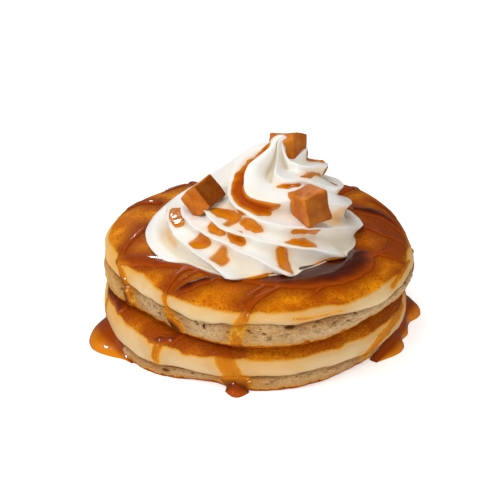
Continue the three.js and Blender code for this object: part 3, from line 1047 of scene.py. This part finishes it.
def build_fudge(node, material, seed):
    """A cut cube: a fine box whose points are drawn in to a rounded box, with dented, wavy faces.

    Each point of the box is clamped to a smaller box and pushed out from there by the rounding.
    """
    middle, axes, half = node_axes(node)
    steps = np.linspace(-1, 1, FUDGE_ROWS)
    u, v = np.meshgrid(steps, steps, indexing="ij")
    sides = []
    faces = []
    index = np.arange(FUDGE_ROWS * FUDGE_ROWS).reshape(FUDGE_ROWS, FUDGE_ROWS)
    quads = np.stack([index[:-1, :-1], index[1:, :-1], index[1:, 1:], index[:-1, 1:]], -1).reshape(-1, 4)
    for axis in range(3):
        for sign in (1, -1):
            spot = np.zeros((FUDGE_ROWS, FUDGE_ROWS, 3))
            spot[..., axis] = sign
            spot[..., (axis + 1) % 3] = u
            spot[..., (axis + 2) % 3] = v
            faces.append((quads if sign > 0 else quads[:, ::-1]) + len(sides) * index.size)
            sides.append(spot.reshape(-1, 3))
    spots = np.concatenate(sides)
    spots, index = np.unique(np.round(spots, 6), axis=0, return_inverse=True)
    faces = index.ravel()[np.concatenate(faces)]
    box = spots * half
    core = np.clip(box, FUDGE_ROUNDING - half, half - FUDGE_ROUNDING)
    out = box - core
    away = np.linalg.norm(out, axis=1, keepdims=True)
    direction = out / np.maximum(away, 1e-9)
    place = core + direction * FUDGE_ROUNDING
    dents = 0.28 * noise(place + 40 * seed, 5.0, seed) + 0.1 * noise(place + 40 * seed, 1.8, seed + 1)
    place = place + direction * (dents[:, None] - 0.05)
    # Painted shade, with rougher relief, on the side turned right and to the front.
    rough_shaded_side = FUDGE_NODES[node] * ease(direction @ axes @ SHADED_SIDE, 0.35, 0.62)
    return mesh_piece(
        node.replace("cube", "block"), middle + place @ axes, faces.tolist(), material, [node],
        {"rough_shaded_side": rough_shaded_side},
    )


# Sauce --------------------------------------------------------------------------------------------

FILM_COLUMNS = 1000
FILM_STEP = 0.4
FILM_START = 14.0


def sauce_inside(turn, reach, groups):
    """How far points of a surface lie inside the outline of its sauce, with a rippled outline."""
    x, y = reach * np.cos(turn), reach * np.sin(turn)
    spots = np.stack([x, y, np.zeros_like(x)], -1)
    ripple = 0.3 * noise(spots, 5.0, 90) + 0.12 * noise(spots, 1.8, 91)
    return np.max([stroke_inside(x, y, strokes) for strokes, _, _ in groups], axis=0) + ripple


def sauce_depth(turn, reach, groups):
    """The depth of sauce on a surface: the deepest of its groups of strokes, each a bead."""
    return np.max([bead(sauce_inside(turn, reach, [group]), *group[1:]) for group in groups], axis=0)


def build_film(name, node, material):
    """Sauce on a pancake: strokes on the flattened pancake, laid over its surface as a closed film."""
    turn = np.linspace(0, 2 * np.pi, FILM_COLUMNS, endpoint=False)
    reach = np.arange(FILM_START, sizes()["pancake_radius"] - TOP_ROUNDING + SIDE_LENGTH, FILM_STEP)
    turns, reaches = np.meshgrid(turn, reach)
    points, normals, looks = pancake_surface(node, turns, reaches, rough=0.35)
    depth = sauce_depth(turns, reaches, SAUCE[node])
    film_points, faces, lift, used = film_mesh(points, normals, depth)
    film_points[:, 2] = np.clip(film_points[:, 2], 0.1, None)
    backing = np.tile(looks["browning"].ravel()[used], 2)
    values = {"depth": lift, "backing": backing}
    return mesh_piece(name, film_points, faces, material, [], values)


def build_cream_film(name, material):
    """Sauce in the hollows of the cream: it keeps off the crests, and stands deeper in the valleys."""
    turn, share, points, normals, fold = cream_grid()
    depth = sauce_depth(turn, share * SLOPE_LENGTH, SAUCE["whipped_cream"])
    depth = depth - 1.1 * ease(fold, 0.82, 1.0)
    depth = np.where(depth > 0, depth * (1 + 0.8 * (1 - fold)), depth)
    film_points, faces, lift, _ = film_mesh(points, normals, depth, sink=0.35)
    values = {"depth": lift, "backing": np.zeros_like(lift)}
    return mesh_piece(name, film_points, faces, material, [], values)


POOLS = {
    "sauce_pool_left": [
        [184, 0.5, 2], [188, 3.4, 4.6], [193, 6.2, 5.8], [199, 7.8, 6.2], [204, 7.9, 6.2], [209, 6.6, 5.6],
        [213, 4.4, 4.8], [217, 1.6, 3], [221, 0.4, 1.5],
    ],
    "sauce_pool_right": [
        [320, 0.5, 2], [324, 2.6, 3.6], [330, 4.6, 4.2], [335, 3.8, 4], [339, 1.2, 3.6], [344, 2, 4.4],
        [348, 1.6, 4.4], [353, 2, 5], [357, 5.2, 6.2], [361, 6.8, 6.6], [366, 6.6, 6.8], [370, 5, 6.4],
        [374, 3.4, 5], [378, 0.5, 2],
    ],
    "sauce_drip_front": [
        [260.4, 0.6, 1.6], [261.8, 2.4, 2.8], [263.6, 3.5, 3.3], [265.6, 3.5, 3.3], [267.2, 2.4, 2.6],
        [268.6, 0.6, 1.2],
    ],
}
POOL_ROWS = 150
POOL_COLUMNS = 44
POOL_UNDER = 6
POOL_SINK = 3.0
MENISCUS = 1.3
MENISCUS_WIDTH = 1.1
POOL_DEEP = 1.1
POOL_THINNED = 0.95
POOL_POWER = 1.3


def build_pool(name, node, outline, material):
    """Sauce pooled round the foot of the lower pancake.

    The outline gives a turn in degrees, how far the pool reaches past the rim and how high it is. Its
    section is a quarter ellipse, with a meniscus that climbs the pancake as exp(-distance / width), and
    a flat bottom. As a look, its depth falls outwards as deep - thinned * share^power.
    """
    turns, reaches, heights = np.array(outline, float).T
    along = np.linspace(turns[0], turns[-1], POOL_ROWS)
    turn = np.radians(along)
    rim = lower_radius(turn)
    spots = np.stack([rim * np.cos(turn), rim * np.sin(turn), np.zeros_like(turn)], -1)
    out = through(np.stack([turns, reaches], -1), along) * (1 + 0.07 * noise(spots, 5.0, 95))
    high = through(np.stack([turns, heights], -1), along) * (1 + 0.08 * noise(spots, 4.0, 96))
    taper = np.sqrt(np.sin(np.linspace(0.02, np.pi - 0.02, POOL_ROWS)))
    out, high = out * taper, high * taper
    lean = np.linspace(0, np.pi / 2, POOL_COLUMNS - POOL_UNDER)
    across = np.sin(lean)
    radius = (rim - POOL_SINK)[:, None] + (out + POOL_SINK)[:, None] * across
    past = np.clip(radius - rim[:, None] + 0.3, 0, None)
    climb = MENISCUS * np.exp(-past / MENISCUS_WIDTH) * taper[:, None]
    height = (high[:, None] + climb) * np.cos(lean)
    back = np.linspace(1, 0, POOL_UNDER + 2)[1:-1]
    under = (rim - POOL_SINK)[:, None] + (out + POOL_SINK)[:, None] * back
    radius, height = np.hstack([radius, under]), np.hstack([height, np.zeros_like(under)])
    rings = np.stack([radius * np.cos(turn)[:, None], radius * np.sin(turn)[:, None], height], -1)
    poles = np.array([rings[0].mean(axis=0), rings[-1].mean(axis=0)])
    share = np.clip((radius - rim[:, None]) / out[:, None], 0, 1)
    depth = np.r_[(POOL_DEEP - POOL_THINNED * share**POOL_POWER).ravel(), 1, 1]
    return mesh_piece(
        name, np.concatenate([rings.reshape(-1, 3), poles]), closed_faces(POOL_ROWS, POOL_COLUMNS),
        material, [node], {"depth": depth, "backing": np.zeros_like(depth)},
    )


# Operators ----------------------------------------------------------------------------------------


class PANCAKE_OT_pancakes(bpy.types.Operator):
    """Build both pancakes"""

    bl_idname = "pancake.pancakes"
    bl_label = "Pancakes"

    def execute(self, context):
        material = pancake_material()
        for node in PANCAKES:
            build_pancake(node, material)
        return {"FINISHED"}


class PANCAKE_OT_cream(bpy.types.Operator):
    """Pipe the swirl of cream"""

    bl_idname = "pancake.cream"
    bl_label = "Whipped cream"

    def execute(self, context):
        build_cream(cream_material())
        return {"FINISHED"}


class PANCAKE_OT_fudge(bpy.types.Operator):
    """Cut the cubes of fudge"""

    bl_idname = "pancake.fudge"
    bl_label = "Fudge"

    def execute(self, context):
        material = fudge_material()
        for number, node in enumerate(FUDGE_NODES):
            build_fudge(node, material, 20 + number)
        return {"FINISHED"}


class PANCAKE_OT_sauce(bpy.types.Operator):
    """Pour the sauce over the pancakes and the cream, with its pools and its drip"""

    bl_idname = "pancake.sauce"
    bl_label = "Caramel sauce"

    def execute(self, context):
        poured = sauce_material("poured_sauce", "sauce_thin", "sauce_thick", 1.6, 0.4)
        build_film("sauce_on_top_pancake", "pancake_top", poured)
        build_film("sauce_on_bottom_pancake", "pancake_bottom", poured)
        amber = sauce_material("amber_sauce", "sauce_thin", "sauce_amber", 1.0, 0.2, 1.4)
        build_cream_film("sauce_on_cream", amber)
        pooled = sauce_material("pooled_sauce", "sauce_thin", "sauce_pool", 1.0, 0.1, 0.6)
        dark = sauce_material("dark_sauce", "sauce_browned", "sauce_thick", 1.6, 0.1)
        for node, outline in POOLS.items():
            sauce = dark if node == "sauce_drip_front" else pooled
            build_pool(node.replace("sauce_", "caramel_"), node, outline, sauce)
        return {"FINISHED"}


class PANCAKE_OT_stage(bpy.types.Operator):
    """Set up the floor, the lights and the camera"""

    bl_idname = "pancake.stage"
    bl_label = "Stage"

    def execute(self, context):
        build_floor()
        build_lights()
        build_camera()
        return {"FINISHED"}


FLOOR_FLAT = 700.0
FLOOR_CURVE = 1100.0
FLOOR_ROWS = 31
FLOOR_COLUMNS = 96


def build_floor():
    """A plain pale floor that curves up all round: a flat disc, then an arc of 60 degrees.

    It is kept out of reflections, so that the gloss of the sauce stays dark and clear.
    """
    graph = Graph("floor")
    material = graph.finish(
        {
            "Base Color": (0.85, 0.85, 0.85, 1),
            "Roughness": 0.9,
            "Specular IOR Level": 0.0,
            "Emission Color": (1, 1, 1, 1),
            "Emission Strength": 0.5,
        }
    )
    rise = np.radians(np.linspace(0, 60, FLOOR_ROWS))
    radius = np.r_[0.01, FLOOR_FLAT + FLOOR_CURVE * np.sin(rise)][:, None]
    height = np.r_[0, FLOOR_CURVE * (1 - np.cos(rise))][:, None]
    turn = np.linspace(0, 2 * np.pi, FLOOR_COLUMNS, endpoint=False)
    points = np.stack([radius * np.cos(turn), radius * np.sin(turn), height + 0 * turn], -1)
    ring, column = np.meshgrid(np.arange(FLOOR_ROWS), np.arange(FLOOR_COLUMNS), indexing="ij")
    after = (column + 1) % FLOOR_COLUMNS
    here, there = ring * FLOOR_COLUMNS, (ring + 1) * FLOOR_COLUMNS
    corners = np.stack([here + column, there + column, there + after, here + after], -1)
    mesh = bpy.data.meshes.new("floor")
    mesh.from_pydata(points.reshape(-1, 3) * MM, [], corners.reshape(-1, 4).tolist())
    mesh.shade_smooth()
    mesh.materials.append(material)
    floor = bpy.data.objects.new("floor", mesh)
    bpy.context.scene.collection.objects.link(floor)
    floor.visible_glossy = False


def area_light(name, place, target, size, power):
    """A square light that faces a target, with places and sizes in millimetres."""
    data = bpy.data.lights.new(name, "AREA")
    data.size = size * MM
    data.energy = power
    light = bpy.data.objects.new(name, data)
    light.location = Vector(place) * MM
    light.rotation_euler = (Vector(target) - Vector(place)).to_track_quat("-Z", "Y").to_euler()
    bpy.context.scene.collection.objects.link(light)
    return light


MIDDLE = (0, 0, 30)


def build_lights():
    """A wide light overhead, a small key at the left, a weak fill, a glint behind and a dim surround."""
    overhead = area_light("overhead", (-60, -120, 800), MIDDLE, 700, 4.1)
    # Mirrored in the sauce, this light would turn its gloss milky.
    overhead.visible_glossy = False
    area_light("key", (-540, -230, 430), MIDDLE, 55, 1.75)
    area_light("fill", (330, -600, 300), MIDDLE, 130, 1.1)
    area_light("glint", (-130, 560, 350), MIDDLE, 50, 0.35)
    world = bpy.data.worlds.new("surround")
    world.use_nodes = True
    background = world.node_tree.nodes["Background"]
    background.inputs["Color"].default_value = (1, 0.97, 0.93, 1)
    background.inputs["Strength"].default_value = 0.08
    bpy.context.scene.world = world
    bpy.context.scene.view_settings.view_transform = "Standard"


CAMERA_ELEVATION = 26.3
CAMERA_DISTANCE = 600.0
CAMERA_LENS = 118.0
CAMERA_TARGET = (-1.0, 0.0, 26.4)


def build_camera():
    """A camera that looks along +Y and down on the stack."""
    data = bpy.data.cameras.new("camera")
    data.lens = CAMERA_LENS
    camera = bpy.data.objects.new("camera", data)
    slope = np.radians(CAMERA_ELEVATION)
    back = Vector((0, -np.cos(slope), np.sin(slope)))
    camera.location = (Vector(CAMERA_TARGET) + back * CAMERA_DISTANCE) * MM
    camera.rotation_euler = (-back).to_track_quat("-Z", "Y").to_euler()
    bpy.context.scene.collection.objects.link(camera)
    bpy.context.scene.camera = camera


class PANCAKE_PT_panel(bpy.types.Panel):
    """The stack's settings and steps, in the sidebar"""

    bl_label = "Pancake stack"
    bl_space_type = "VIEW_3D"
    bl_region_type = "UI"
    bl_category = "Pancakes"

    def draw(self, context):
        for group in (context.scene.pancake_sizes, context.scene.pancake_colours):
            for name in type(group).__annotations__:
                self.layout.prop(group, name)
        for step in STEPS:
            self.layout.operator(step.bl_idname)


STEPS = (PANCAKE_OT_pancakes, PANCAKE_OT_cream, PANCAKE_OT_fudge, PANCAKE_OT_sauce, PANCAKE_OT_stage)
CLASSES = (StackSizes, StackColours, *STEPS, PANCAKE_PT_panel)


def register():
    """Adds the classes and the settings."""
    for cls in CLASSES:
        bpy.utils.register_class(cls)
    bpy.types.Scene.pancake_sizes = bpy.props.PointerProperty(type=StackSizes)
    bpy.types.Scene.pancake_colours = bpy.props.PointerProperty(type=StackColours)


def unregister():
    """Takes the classes and the settings away."""
    del bpy.types.Scene.pancake_colours
    del bpy.types.Scene.pancake_sizes
    for cls in reversed(CLASSES):
        bpy.utils.unregister_class(cls)


def main():
    """Builds the whole stack."""
    register()
    bpy.ops.pancake.pancakes()
    bpy.ops.pancake.cream()
    bpy.ops.pancake.fudge()
    bpy.ops.pancake.sauce()
    bpy.ops.pancake.stage()


if __name__ == "__main__":
    main()
